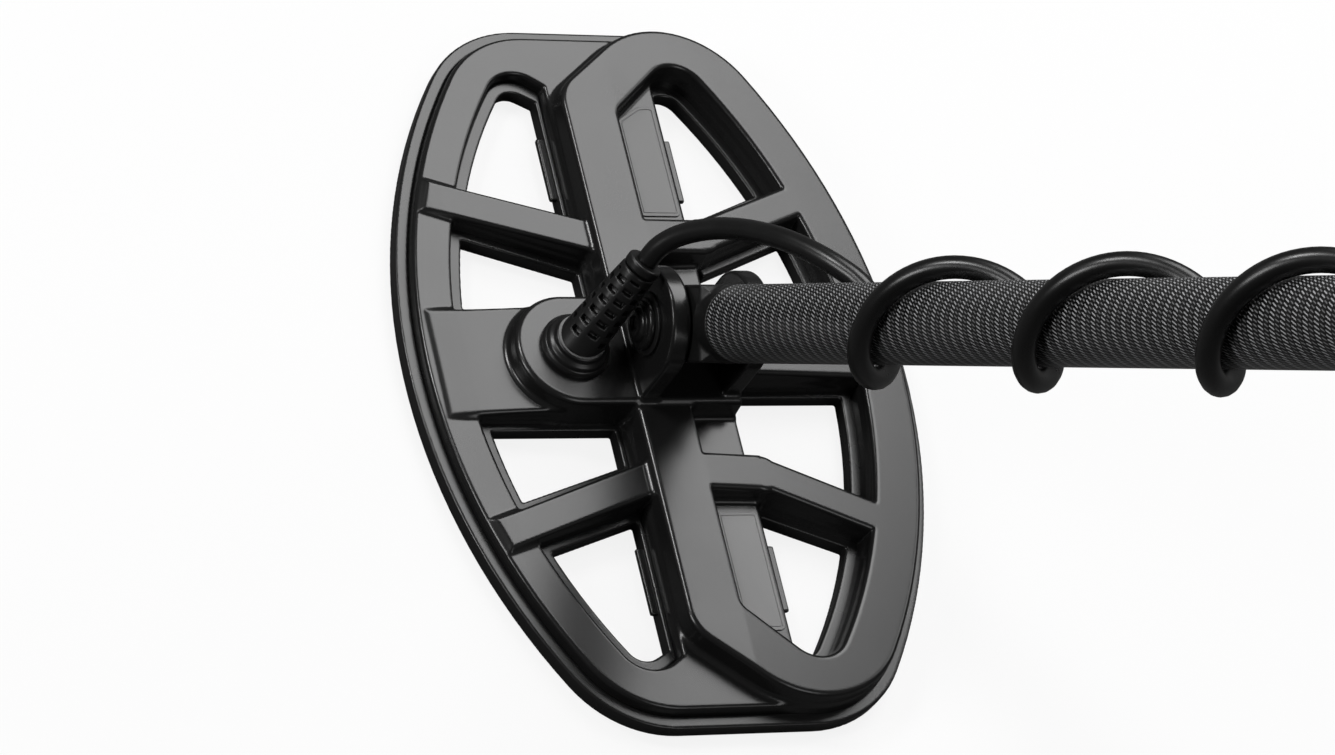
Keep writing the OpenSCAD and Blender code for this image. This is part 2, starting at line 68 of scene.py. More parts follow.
# %% Camera
camera = bpy.data.objects.new("camera", bpy.data.cameras.new("camera"))
right, up, back = (-0.2186, -0.8958, 0.3870), (0.8726, -0.0019, 0.4884), (-0.4368, 0.4445, 0.7821)
turn = Matrix((right, up, back)).transposed().to_4x4()
camera.matrix_world = Matrix.Translation((-0.67626, 0.68452, 1.21154)) @ turn
camera.data.sensor_width = 36
camera.data.lens = 148.87
camera.data.clip_start, camera.data.clip_end = 0.05, 60
bpy.context.scene.collection.objects.link(camera)
bpy.context.scene.camera = camera
print("camera at", [round(v, 3) for v in camera.location], "lens", camera.data.lens)

# %% [markdown]
# ## Shader sums
# A node tree is easier to read as a formula. A Wire is a value on its way along a socket, and the
# usual operators on it add Math nodes. A Paint is one material: its `node` method adds any other node,
# and takes its settings first and then what its sockets get.

# %% Wires and paints
class Wire:
    def __init__(self, paint, socket):
        self.paint, self.socket = paint, socket

    def sum(self, operation, *values):
        return self.paint.node("ShaderNodeMath", {"operation": operation}, dict(enumerate(values)))

    def __getitem__(self, name):
        return Wire(self.paint, self.socket.node.outputs[name])

    def __add__(self, other):
        return self.sum("ADD", self, other)

    def __sub__(self, other):
        return self.sum("SUBTRACT", self, other)

    def __rsub__(self, other):
        return self.sum("SUBTRACT", other, self)

    def __mul__(self, other):
        return self.sum("MULTIPLY", self, other)

    def __truediv__(self, other):
        return self.sum("DIVIDE", self, other)

    def __pow__(self, other):
        return self.sum("POWER", self, other)

    __radd__, __rmul__ = __add__, __mul__

    def wave(self):
        """A cosine of whole turns, from 0 to 1."""
        return self.sum("COSINE", self * math.tau) * 0.5 + 0.5

    def step(self, low, high):
        """0 below low, 1 above high, and a soft step between them."""
        settings = {"interpolation_type": "SMOOTHSTEP"}
        return self.paint.node("ShaderNodeMapRange", settings, {0: self, 1: low, 2: high})


class Paint:
    def __init__(self, name):
        self.material = bpy.data.materials.new(name)
        self.material.use_nodes = True
        self.tree = self.material.node_tree
        self.shader = self.tree.nodes["Principled BSDF"]

    def node(self, kind, settings=None, sockets=None):
        made = self.tree.nodes.new(kind)
        for name, value in (settings or {}).items():
            if name == "stops":
                for stop, (place, colour) in zip(made.color_ramp.elements, value):
                    stop.position, stop.color = place, colour
            else:
                setattr(made, name, value)
        for name, value in (sockets or {}).items():
            self.feed(made.inputs[name], value)
        return Wire(self, next(out for out in made.outputs if out.enabled))

    def feed(self, socket, value):
        if isinstance(value, Wire):
            self.tree.links.new(value.socket, socket)
        else:
            socket.default_value = value

    def mix(self, share, first, second):
        settings = {"data_type": "RGBA"}
        return self.node("ShaderNodeMix", settings, {0: share, 6: first, 7: second})

    def place(self):
        return self.node("ShaderNodeTexCoord")["Object"]

    def noise(self, place, size, detail=2.0):
        """Noise whose bumps are about size millimetres across."""
        sockets = {"Vector": place, "Scale": 1 / (size * MM), "Detail": detail}
        return self.node("ShaderNodeTexNoise", None, sockets)

    def bump(self, height, depth):
        """A relief of depth millimetres where height goes from 0 to 1."""
        return self.node("ShaderNodeBump", None, {"Height": height, "Distance": depth * MM})

    def finish(self, **sockets):
        for name, value in sockets.items():
            self.feed(self.shader.inputs[name.replace("_", " ")], value)
        return self.material


def shade(value, alpha=1.0):
    """A grey or a colour as the four numbers that a colour socket takes."""
    return (*([value] * 3 if isinstance(value, (int, float)) else value), alpha)


# %% [markdown]
# ## Placing and making meshes
# Three frames are used again and again: the shaft's, whose Z runs up the shaft from the hinge, the
# hinge's, whose Z runs along the bolt, and the strain relief's. A piece is made from one or more
# shells, each a list of points and faces in millimetres.

# %% Frames of the parts
PIVOT_Z, SHAFT_LEAN = 31.0, 29.7


def turned_by(degrees, axis):
    return Matrix.Rotation(math.radians(degrees), 4, axis)


LEVEL = Matrix.Identity(4)
AT_PIVOT = Matrix.Translation((0, 0, PIVOT_Z)) @ turned_by(-90, "X")
ON_SHAFT = Matrix.Translation((0, 0, PIVOT_Z)) @ turned_by(-SHAFT_LEAN, "Y")
GLAND_FOOT = (0, 32.2, 21)
ON_BOOT = Matrix.Translation(GLAND_FOOT) @ turned_by(-49, "Z") @ turned_by(30, "Y")
PLUG_OFF, PLUG_FROM = 19.15, 421.0
ON_PLUG = ON_SHAFT @ Matrix.Translation((-PLUG_OFF, 0, PLUG_FROM))
print("shaft points along", [round(v, 3) for v in ON_SHAFT.to_3x3() @ Vector((0, 0, 1))])


# %% A piece from shells
def moved(points, place):
    turn = np.array(place.to_3x3())
    return np.asarray(points, float) @ turn.T + np.array(place.translation)


def piece(name, shells, paint, body, replaces=(), sharp=40):
    points, faces = [], []
    for shell_points, shell_faces in shells:
        start = sum(len(p) for p in points)
        points.append(np.asarray(shell_points, float))
        faces += [tuple(start + i for i in face) for face in shell_faces]
    mesh = bpy.data.meshes.new(name)
    mesh.from_pydata((np.vstack(points) * MM).tolist(), [], faces)
    tidy = bmesh.new()
    tidy.from_mesh(mesh)
    bmesh.ops.recalc_face_normals(tidy, faces=tidy.faces)
    tidy.to_mesh(mesh)
    tidy.free()
    mesh.shade_smooth()
    mesh.set_sharp_from_angle(angle=math.radians(sharp))
    return settle(bpy.data.objects.new(name, mesh), paint, body, replaces)


def settle(made, paint, body, replaces=()):
    bpy.context.scene.collection.objects.link(made)
    made.data.materials.append(paint)
    if body:
        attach(made, body)
    if replaces:
        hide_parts(*replaces)
    print(made.name, len(made.data.polygons), "faces")
    return made


# %% [markdown]
# ## Turned pieces
# Bolts, washers, glands and tubes are bodies of revolution, so each is drawn as half of its section:
# pairs of radius and height. A moulded or machined corner is never quite sharp, so each corner is
# swapped for a small curve first, and that curve is what catches the light.

# %% Turning
def eased(outline, radius, closed, steps=3):
    out = []
    count = len(outline)
    for i, corner in enumerate(outline):
        if not closed and i in (0, count - 1):
            out.append(np.array(corner, float))
            continue
        here = np.array(corner, float)
        before, after = (np.array(outline[(i + k) % count], float) - here for k in (-1, 1))
        reach = min(radius, 0.45 * np.linalg.norm(before), 0.45 * np.linalg.norm(after))
        start = here + before / np.linalg.norm(before) * reach
        end = here + after / np.linalg.norm(after) * reach
        for k in range(steps + 1):
            t = k / steps
            out.append((1 - t) ** 2 * start + 2 * t * (1 - t) * here + t * t * end)
    return out


def turned(outline, place, radius=0.4, sides=72, closed=False, ridges=None):
    """The outline spun round Z. ridges = (count, depth, low, high) flutes it between two heights."""
    points, faces, rings = [], [], []
    for r, z in eased(outline, radius, closed):
        if r < 1e-6:
            rings.append([len(points)] * sides)
            points.append((0, 0, z))
            continue
        rings.append(list(range(len(points), len(points) + sides)))
        for k in range(sides):
            angle = math.tau * k / sides
            cut = 0
            if ridges and ridges[2] < z < ridges[3]:
                cut = ridges[1] * (0.5 - 0.5 * math.cos(ridges[0] * angle)) ** 2
            points.append(((r - cut) * math.cos(angle), (r - cut) * math.sin(angle), z))
    loops = zip(rings, rings[1:] + rings[:1]) if closed else zip(rings, rings[1:])
    for low, high in loops:
        for k in range(sides):
            n = (k + 1) % sides
            corners = [low[k], low[n], high[n], high[k]]
            faces.append(tuple(dict.fromkeys(corners)))
    return moved(points, place), [f for f in faces if len(f) > 2]


# %% [markdown]
# ## The cable
# One rubber cable runs from the strain relief over the hinge, winds up the shaft in long open turns,
# is stowed in close turns near the top, and ends in its connector. The route is the construction's
# own: a few points over the hinge, then a helix. A Catmull-Rom curve joins the points smoothly, and
# a ring of points is swept along it. It rides partly on the coil and partly on the shaft.

# %% Route of the cable
CABLE_R = 3.05
WRAP_R = 14.25
WRAP_AT, WRAP_PITCH, WRAP_FROM, WRAP_TO = 123, 84, 228, -1020
STOW_PITCH = 6.35
ARCH = [
    (10.1, 20.5, 47.8), (11.6, 18.8, 52.2), (12, 16, 57), (10.8, 12.8, 62.4), (8.5, 9.6, 68),
    (5.2, 6.6, 73.6), (1.2, 3.8, 79), (-3.4, 1.2, 84.2), (-8.4, -1.6, 88.8), (-13.6, -4.6, 92.6),
    (-18.6, -7.6, 95.5),
]


def on_helix(angle, along, radius):
    a = math.radians(angle)
    return (-radius * math.sin(a), radius * math.cos(a), along)


def winding():
    """Points in the shaft's frame: open turns, close turns, then straight along to the connector."""
    points = []
    for angle in range(WRAP_FROM, WRAP_TO, -12):
        loose = 2.2 * max(0, (angle - WRAP_FROM + 90) / 90) ** 2
        points.append(on_helix(angle, WRAP_AT - angle * WRAP_PITCH / 360, WRAP_R + loose))
    along = WRAP_AT - WRAP_TO * WRAP_PITCH / 360
    pitch, angle, last = WRAP_PITCH, WRAP_TO, WRAP_TO - 5 * 360 - 280
    while angle > last:
        points.append(on_helix(angle, along, WRAP_R))
        angle -= 12
        pitch = max(STOW_PITCH, pitch - 16)
        along += pitch * 12 / 360
    for k in range(1, 11):
        t = k / 10
        swing = 50 * (t - 0.5 * t * t)
        points.append(on_helix(last - 2 * swing, along + 13 * t * t, WRAP_R))
    low, start = points[-1], along + 13
    for k in range(1, 9):
        t = k / 8
        ease = t * t * (3 - 2 * t)
        x = low[0] + (-PLUG_OFF - low[0]) * ease
        points.append((x, low[1] * (1 - ease), start + (PLUG_FROM + 1 - start) * t))
    return points


def smooth_route(points, gap):
    """A Catmull-Rom curve through the points, with a point every gap or so."""
    p = np.asarray(points, float)
    p = np.vstack([2 * p[0] - p[1], p, 2 * p[-1] - p[-2]])
    out = []
    for a, b, c, d in zip(p, p[1:], p[2:], p[3:]):
        count = max(1, round(np.linalg.norm(c - b) / gap))
        for t in np.arange(count) / count:
            out.append(0.5 * (2 * b + (c - a) * t + (2 * a - 5 * b + 4 * c - d) * t * t
                              + (3 * b - a - 3 * c + d) * t ** 3))
    return np.array(out + [p[-2]])


cable_route = smooth_route(ARCH + moved(winding(), ON_SHAFT).tolist(), 1.8)
cable_length = float(np.linalg.norm(np.diff(cable_route, axis=0), axis=1).sum())
print("cable", round(cable_length), "mm long,", len(cable_route), "rings")


# %% Sweep along a route
def swept(route, radius, sides=16):
    """A closed round tube. Its first direction is carried along, so that it never twists."""
    way = np.gradient(route, axis=0)
    way /= np.linalg.norm(way, axis=1)[:, None]
    side = np.cross(way[0], (0, 0, 1) if abs(way[0][2]) < 0.9 else (1, 0, 0))
    points, faces = [], []
    for centre, ahead in zip(route, way):
        side = side - ahead * (side @ ahead)
        side /= np.linalg.norm(side)
        other = np.cross(ahead, side)
        angles = np.arange(sides) * math.tau / sides
        spokes = np.outer(np.cos(angles), side) + np.outer(np.sin(angles), other)
        points += list(centre + radius * spokes)
    for i in range(len(route) - 1):
        for k in range(sides):
            n = (k + 1) % sides
            faces.append((i * sides + k, i * sides + n, (i + 1) * sides + n, (i + 1) * sides + k))
    faces += [tuple(range(sides)), tuple(range((len(route) - 1) * sides, len(route) * sides))]
    return np.array(points), faces


# %% Cable jacket and cable
def rubber(name, colour, roughness, grain, relief):
    paint = Paint(name)
    place = paint.place()
    fine, broad = paint.noise(place, grain), paint.noise(place, 9, 3)
    tint = paint.mix(broad, shade(colour * 0.8), shade(colour * 1.25))
    rough = roughness + (broad - 0.5) * 0.14 + (fine - 0.5) * 0.06
    return paint.finish(Base_Color=tint, Roughness=rough, Normal=paint.bump(fine, relief))


jacket = rubber("cable_jacket", 0.008, 0.3, 0.5, 0.004)
cable = piece("search_cable", [swept(cable_route, CABLE_R)], jacket, None,
              ("cable_arch", "cable_wraps", "cable_stow", "cable_tail"))
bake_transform(cable)

# %% [markdown]
# ## Connector
# The cable ends in a round five-pin plug. Its shell is tapered where the cable goes in, and a fluted
# ring spins freely on its front to lock it in the control box. A strap of hook-and-loop tape holds it
# against the underside of the shaft. The insert and the pins keep their exact construction shapes.


# %% Moulded plastic
def moulded(name, colour, roughness, grain=0.35, relief=0.004, drift=0.08):
    """Satin plastic: fine moulding grain, and a slow drift in gloss as where hands have been."""
    paint = Paint(name)
    place = paint.place()
    fine, broad = paint.noise(place, grain), paint.noise(place, 26, 3)
    tint = paint.mix(broad, shade(colour * 0.86), shade(colour * 1.16))
    rough = roughness + (broad - 0.5) * drift + (fine - 0.5) * 0.05
    return paint.finish(Base_Color=tint, Roughness=rough, Normal=paint.bump(fine, relief))


# %% Shell and lock ring
connector_plastic = moulded("connector_plastic", 0.016, 0.4)
shell = [(0, 0.4), (3.2, 0.4), (4.25, 0), (5.1, 1.2), (6.6, 5), (6.8, 5.6), (6.8, 14.7), (5.8, 14.7),
         (5.8, 24), (4.8, 24), (4.8, 14), (0, 14)]
connector_body = piece("connector_body", [turned(shell, ON_PLUG, 0.35)], connector_plastic, "shaft",
                       ("connector_shell",))
ring = [(5.9, 15.3), (7.6, 15.3), (8.0, 15.9), (8.0, 16.6), (7.9, 16.8), (7.9, 22.6), (8.0, 22.8),
        (8.0, 23.6), (7.6, 24.3), (5.9, 24.3)]
lock_ring = piece(
    "knurled_ring", [turned(ring, ON_PLUG, 0.25, 192, True, (24, 0.75, 16.6, 22.8))],
    moulded("ring_plastic", 0.02, 0.42), "lock_ring", ("connector_ring",))


# %% Strap
def band(path, low, high, thick):
    """A closed band round a flat loop, with rounded edges, in the shaft's frame."""
    ahead = np.roll(path, -1, 0) - np.roll(path, 1, 0)
    out = np.stack([ahead[:, 1], -ahead[:, 0]], 1) / np.linalg.norm(ahead, axis=1)[:, None]
    section = eased([(0, low), (thick, low), (thick, high), (0, high)], 0.35, True)
    points = [(*(p + n * o), z) for p, n in zip(path, out) for o, z in section]
    size, faces = len(section), []
    for i in range(len(path)):
        for k in range(size):
            j, n = (i + 1) % len(path), (k + 1) % size
            faces.append((i * size + k, j * size + k, j * size + n, i * size + n))
    return moved(points, ON_SHAFT), faces


def strap_loop(grow):
    near, far, away = 10.75 + grow, 6.8 + grow, PLUG_OFF
    open_angle = math.acos((near - far) / away)
    near_arc = np.linspace(-math.pi + open_angle, math.pi - open_angle, 56)
    far_arc = np.linspace(math.pi - open_angle, math.pi + open_angle, 30)
    around = [(near * math.cos(a), near * math.sin(a)) for a in near_arc]
    around += [(-away + far * math.cos(a), far * math.sin(a)) for a in far_arc]
    return np.array(around)


def woven(name, colour, thread):
    """Plain-woven tape: two sets of threads that take turns on top."""
    paint = Paint(name)
    parts = paint.node("ShaderNodeSeparateXYZ", None, {0: paint.place()})
    across, down = parts["Y"] / (thread * MM), parts["Z"] / (thread * MM)
    weave = across.wave() * down.wave() + (1 - across.wave()) * (1 - down.wave())
    fluff = paint.noise(paint.place(), 0.4, 4)
    tint = paint.mix(weave, shade(colour * 0.5), shade(colour * 1.5))
    return paint.finish(Base_Color=tint, Roughness=0.8 + fluff * 0.15,
                        Normal=paint.bump(weave + fluff, 0.08))


strap_low, strap_high = PLUG_FROM + 5.6, PLUG_FROM + 14
strap_shells = [band(strap_loop(0.2), strap_low, strap_high, 1.1)]
piece("hook_loop_strap", strap_shells, woven("strap_tape", 0.022, 0.7), "shaft",
      ("connector_strap",))

print("declared", round(cable_length * MM, 3), "m of cable")

# %% [markdown]
# ## Solid shapes from distances
# The coil is one thick moulding in which every top edge is rounded and every wall runs into the next
# face with a fillet. Bevelling a mesh full of small arcs tears easily, so the shape is described as a
# distance instead: how far each point of a fine grid is from the surface, with less than zero inside.
# Rounding and filleting two distances is then a line of arithmetic, and a net is drawn where the
# distance is zero. The outlines are cut from the construction model, so they are exact.


# %% Outlines cut from the construction model
def level_cut(node, height):
    """Where a level plane crosses a node: 2-D segments."""
    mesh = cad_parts[node].data
    mesh.calc_loop_triangles()
    points = np.empty(len(mesh.vertices) * 3)
    mesh.vertices.foreach_get("co", points)
    corners = np.empty(len(mesh.loop_triangles) * 3, int)
    mesh.loop_triangles.foreach_get("vertices", corners)
    tri = (points.reshape(-1, 3) / MM)[corners.reshape(-1, 3)]
    above = tri[:, :, 2] > height
    tri, above = tri[above.any(1) & ~above.all(1)], above[above.any(1) & ~above.all(1)]
    after, crossed = np.roll(tri, -1, 1), above != np.roll(above, -1, 1)
    rise = np.where(crossed, after[:, :, 2] - tri[:, :, 2], 1)
    share = (height - tri[:, :, 2]) / rise
    cut = tri + (after - tri) * share[:, :, None]
    return cut[crossed].reshape(-1, 2, 3)[:, :, :2]


def outline_distance(segments, xs, ys, reach=7.0):
    """Signed distance from an outline on a flat grid, below zero inside it."""
    step = xs[1] - xs[0]
    away = np.full((len(xs), len(ys)), reach)
    crossings = np.zeros((len(xs), len(ys) + 1))
    for (ax, ay), (bx, by) in segments:
        dx, dy = bx - ax, by - ay
        length = dx * dx + dy * dy
        if length < 1e-12:
            continue
        i, j = (slice(max(0, int((min(p) - reach - grid[0]) / step)),
                      max(0, int((max(p) + reach - grid[0]) / step) + 2))
                for p, grid in (((ax, bx), xs), ((ay, by), ys)))
        x, y = xs[i, None], ys[None, j]
        t = np.clip(((x - ax) * dx + (y - ay) * dy) / length, 0, 1)
        away[i, j] = np.minimum(away[i, j], np.hypot(x - ax - t * dx, y - ay - t * dy))
        spanned = np.nonzero((xs >= min(ax, bx)) & (xs < max(ax, bx)))[0]
        if len(spanned):
            meets = ay + (xs[spanned] - ax) * dy / dx
            np.add.at(crossings, (spanned, np.searchsorted(ys, meets)), 1)
    inside = np.cumsum(crossings, 1)[:, :-1] % 2 == 1
    return np.where(inside, -away, away)


# %% Rounding two distances together
def rounded(a, b, radius):
    """Inside both, with the outer edge between them rounded."""
    corner = np.hypot(np.maximum(a + radius, 0), np.maximum(b + radius, 0))
    return np.minimum(np.maximum(a, b) + radius, 0) + corner - radius


def filleted(a, b, radius):
    """Inside either, with the inner edge between them filled."""
    return -rounded(-a, -b, radius)


# %% A net over a distance grid
class Grid:
    def __init__(self, low, high, pitch):
        self.low, self.pitch = np.array(low, float), pitch
        self.axes = [np.arange(a, b, pitch) for a, b in zip(low, high)]

    def spread(self):
        return np.meshgrid(*self.axes, indexing="ij", sparse=True)

    def sample(self, field, points):
        """The field between grid points."""
        spot = (points - self.low) / self.pitch
        cell = np.clip(np.floor(spot).astype(int), 0, np.array(field.shape) - 2)
        part = np.clip(spot - cell, 0, 1)
        value = 0
        for corner in np.ndindex(2, 2, 2):
            share = np.prod(np.where(corner, part, 1 - part), axis=1)
            value = value + share * field[tuple((cell + corner).T)]
        return value

    def slope(self, field, points):
        half = self.pitch * 0.5 * np.eye(3)
        rise = [self.sample(field, points + h) - self.sample(field, points - h) for h in half]
        rise = np.stack(rise, 1)
        return rise / np.maximum(np.linalg.norm(rise, axis=1), 1e-9)[:, None]

    def net(self, field):
        """Points and four-sided faces of the surface where the field is zero."""
        inside = field < 0
        total = np.zeros(np.array(field.shape) - 1, np.uint8)
        for corner in np.ndindex(2, 2, 2):
            total += inside[tuple(slice(c, c - 1 or None) for c in corner)]
        cells = np.argwhere((total > 0) & (total < 8))
        number = np.full(total.shape, -1, np.int32)
        number[tuple(cells.T)] = np.arange(len(cells))
        place, count = np.zeros((len(cells), 3)), np.zeros((len(cells), 1))
        for axis in range(3):
            for offset in np.ndindex(2, 2, 2):
                if offset[axis]:
                    continue
                start = cells + offset
                end = start + np.eye(3, dtype=int)[axis]
                f0, f1 = field[tuple(start.T)], field[tuple(end.T)]
                hit = (f0 < 0) != (f1 < 0)
                place[hit] += offset
                place[hit, axis] += f0[hit] / (f0[hit] - f1[hit])
                count[hit] += 1
        points = self.low + (cells + place / count) * self.pitch
        return points, np.vstack([self.walls(inside, number, axis) for axis in range(3)])

    def walls(self, inside, number, axis):
        """The faces round every grid edge along one axis that goes through the surface."""
        u, v = (axis + 1) % 3, (axis + 2) % 3
        low = [slice(1, -1)] * 3
        low[axis] = slice(0, -1)
        high = list(low)
        high[axis] = slice(1, None)
        first, second = inside[tuple(low)], inside[tuple(high)]
        edges = np.argwhere(first != second)
        outward = first[tuple(edges.T)]
        edges[:, [u, v]] += 1
        corners = []
        for du, dv in ((-1, -1), (0, -1), (0, 0), (-1, 0)):
            cell = edges.copy()
            cell[:, u] += du
            cell[:, v] += dv
            corners.append(number[tuple(cell.T)])
        faces = np.stack(corners, 1)
        return np.where(outward[:, None], faces, faces[:, ::-1])


# %% Skin of a distance grid as a piece
def skin(name, grid, field, keep, place, paint, body, replaces):
    """The net, thinned to a share of its faces, with its shading taken from the distances."""
    points, faces = grid.net(field)
    for _ in range(2):
        points = points - grid.slope(field, points) * grid.sample(field, points)[:, None] * 0.8
    mesh = bpy.data.meshes.new(name)
    mesh.from_pydata(points.tolist(), [], faces.tolist())
    rough = bpy.data.objects.new(name + "_net", mesh)
    bpy.context.scene.collection.objects.link(rough)
    thin = rough.modifiers.new("thin", "DECIMATE")
    thin.ratio = keep
    final = bpy.data.meshes.new_from_object(rough.evaluated_get(bpy.context.evaluated_depsgraph_get()))
    bpy.data.objects.remove(rough)
    bpy.data.meshes.remove(mesh)
    final.name = name
    spots = np.empty(len(final.vertices) * 3)
    final.vertices.foreach_get("co", spots)
    spots = spots.reshape(-1, 3)
    normals = grid.slope(field, spots) @ np.array(place.to_3x3()).T
    final.vertices.foreach_set("co", (moved(spots, place) * MM).ravel())
    final.shade_smooth()
    final.normals_split_custom_set_from_vertices(normals.tolist())
    final.update()
    return settle(bpy.data.objects.new(name, final), paint, body, replaces)


# %% [markdown]
# ## Coil housing
# The housing is built up like the real moulding: the lower D, the raised D whose roof falls away to
# its outer edge, the spokes and the wide bar that lie on the lower D, the ledges that the skid clips
# to, the hub and its two ears. Walls
# lean out by a few degrees towards the ground, as they must to leave a mould.

# %% Levels of the housing
HOUSING_FLOOR, LOWER_TOP = 2.8, 9.0
RAISED_TOP, RAISED_EDGE, RAISED_REACH = 16.2, 11.8, 73.2
BAR_TOP, BAR_END, BAR_CHAMFER = 15.0, 70.2, 6.0
HUB_TOP, EAR_R, FAR_EAR_R, EAR_IN, EAR_OUT = 17.3, 16.0, 14.8, 9.9, 15.7
ELBOW = (38.2, -18.0, 5.6)
CLIP_X, CLIP_HALF, CLIP_IN, CLIP_OUT, CLIP_TOP = 65.6, 10.2, 16.0, 21.2, 4.4
DRAFT = 0.07
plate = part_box("lower_housing")
reach_x, reach_y = plate[1].x / MM + 1.6, plate[1].y / MM + 1.6
coil_grid = Grid((-reach_x, -reach_y, HOUSING_FLOOR - 1.1), (reach_x, reach_y, PIVOT_Z + EAR_R + 1.5),
                 0.5)
print("grid of", [len(a) for a in coil_grid.axes], "points")


# %% Distances of the housing
def housing_field(grid):
    xs, ys = grid.axes[:2]

    def cut(node, height):
        return outline_distance(level_cut(node, height), xs, ys)[:, :, None]

    lower, raised = cut("lower_housing", 8.6), cut("raised_housing", 11.1)
    bars, hub = cut("lower_bars", LOWER_TOP + 0.02), cut("pivot_bracket", 16.9)
    x, y, z = grid.spread()
    elbow = np.hypot(np.abs(x) - ELBOW[0], y - ELBOW[1]) - ELBOW[2]
    raised = np.minimum(raised, elbow)

    def wall(outline, roof):
        return outline - DRAFT * np.clip(-roof, 0, 12)

    fall = (RAISED_TOP - RAISED_EDGE) / RAISED_REACH
    raised_roof = np.maximum(z - RAISED_TOP, z - RAISED_TOP - fall * y)
    drop = (BAR_TOP - LOWER_TOP - 0.6) / BAR_END
    knee = BAR_TOP - drop * (BAR_END - BAR_CHAMFER)
    steep = (knee - LOWER_TOP) / BAR_CHAMFER
    bar_roof = z - BAR_TOP + drop * y
    bar_end = z - LOWER_TOP + steep * (y - BAR_END)
    bar_roof = rounded(bar_roof, bar_end, 0.5)
    made = rounded(wall(lower, z - LOWER_TOP), z - LOWER_TOP, 1.1)
    made = filleted(made, rounded(wall(bars, bar_roof), bar_roof, 1.1), 1.6)
    made = filleted(made, rounded(wall(raised, raised_roof), raised_roof, 1.4), 1.8)
    made = filleted(made, rounded(wall(hub, z - HUB_TOP), z - HUB_TOP, 1.6), 1.6)
    ledge = rounded(np.abs(np.abs(x) - CLIP_X) - CLIP_HALF, np.abs(y) - CLIP_OUT, 0.4)
    made = np.minimum(made, np.maximum(rounded(ledge, z - CLIP_TOP, 0.4), CLIP_IN - np.abs(y)))
    ear_r = np.where(y < 0, FAR_EAR_R, EAR_R)
    tomb = np.where(z > PIVOT_Z, np.hypot(x, z - PIVOT_Z), np.abs(x)) - ear_r
    middle, half = (EAR_IN + EAR_OUT) / 2, (EAR_OUT - EAR_IN) / 2
    ears = rounded(tomb, np.abs(np.abs(y) - middle) - half, 0.9)
    made = filleted(made, ears, 1.3)
    bore = np.hypot(x, z - PIVOT_Z) - 4.05
    made = np.maximum(made, -np.maximum(bore, np.abs(y) - 30))
    return np.maximum(made, HOUSING_FLOOR - z).astype(np.float32)


coil_plastic = moulded("coil_plastic", 0.011, 0.25, 0.3, 0.003)
coil_field = housing_field(coil_grid)
skin("coil_housing", coil_grid, coil_field, 0.3, LEVEL, coil_plastic, "coil",
     ("lower_housing", "raised_housing", "lower_bars", "pivot_bracket"))

# %% [markdown]
# ## Skid cover
# The skid is the shoe that scrapes over the ground. It is a thin tray with a rim, softer and duller
# than the housing, and its underside carries fine scratches that run the way the coil is swept.


# %% Skid cover
def scuffed(name, colour, roughness):
    """Plastic with fine scratches along Y on the faces that look down."""
    paint = Paint(name)
    place = paint.place()
    fine, broad = paint.noise(place, 0.4), paint.noise(place, 22, 3)
    parts = paint.node("ShaderNodeSeparateXYZ", None, {0: place})
    stretched = paint.node("ShaderNodeCombineXYZ", None,
                           {0: parts["X"] * 1400, 1: parts["Y"] * 22, 2: parts["Z"] * 22})
    lines = paint.node("ShaderNodeTexNoise", None, {"Vector": stretched, "Scale": 1.0, "Detail": 3.0})
    facing = paint.node("ShaderNodeNewGeometry")["Normal"]
    down = paint.node("ShaderNodeSeparateXYZ", None, {0: facing})["Z"].step(-0.5, -0.9)
    scratch = lines.step(0.6, 0.72) * down
    tint = paint.mix(scratch, shade(colour), shade(colour * 2.4))
    rough = roughness + (broad - 0.5) * 0.1 + scratch * 0.2
    return paint.finish(Base_Color=tint, Roughness=rough, Normal=paint.bump(fine - scratch * 2, 0.004))


SKID_FLOOR, SKID_RIM = 1.8, 5.4
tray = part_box("skid_cover")
tray_x, tray_y = tray[1].x / MM + 1.4, tray[1].y / MM + 1.4
skid_grid = Grid((-tray_x, -tray_y, -1.2), (tray_x, tray_y, SKID_RIM + 1.5), 0.55)


def skid_field(grid):
    xs, ys = grid.axes[:2]
    full = outline_distance(level_cut("skid_cover", 0.9), xs, ys)[:, :, None]
    rim = outline_distance(level_cut("skid_cover", 4), xs, ys)[:, :, None]
    z = grid.spread()[2]
    tray = np.minimum(rounded(rim, z - SKID_RIM, 0.7), np.maximum(full, z - SKID_FLOOR))
    return np.maximum(tray, rounded(full, -z, 1.3)).astype(np.float32)


skid_plastic = scuffed("skid_plastic", 0.012, 0.28)
skin("skid_shell", skid_grid, skid_field(skid_grid), 0.25, LEVEL, skid_plastic, "coil",
     ("skid_cover",))

# %% [markdown]
# ## Labels
# Two thin satin plates are let into the spine between the raised D and its windows. They are bare.
# Each is a flat outline with one cut corner, a fine line pressed in just inside its edge, and a small
# bevel all round.


# %% Label plates
def label_shell(corners, low, thick):
    """A plate whose top has a groove just inside its edge."""
    flat = np.array(eased(corners, 1.6, True, 6))
    ahead = np.roll(flat, -1, 0) - np.roll(flat, 1, 0)
    out = np.stack([ahead[:, 1], -ahead[:, 0]], 1) / np.linalg.norm(ahead, axis=1)[:, None]
    rings = [(0, 0), (0, thick - 0.12), (0.12, thick), (0.8, thick), (0.9, thick - 0.15),
             (1.1, thick - 0.15), (1.2, thick)]
    points = [(*(p - n * inset), low + z) for inset, z in rings for p, n in zip(flat, out)]
    size, faces = len(flat), []
    for i in range(len(rings) - 1):
        for k in range(size):
            n = (k + 1) % size
            faces.append((i * size + k, i * size + n, (i + 1) * size + n, (i + 1) * size + k))
    faces += [tuple(range(size)), tuple(range((len(rings) - 1) * size, len(rings) * size))]
    return points, faces


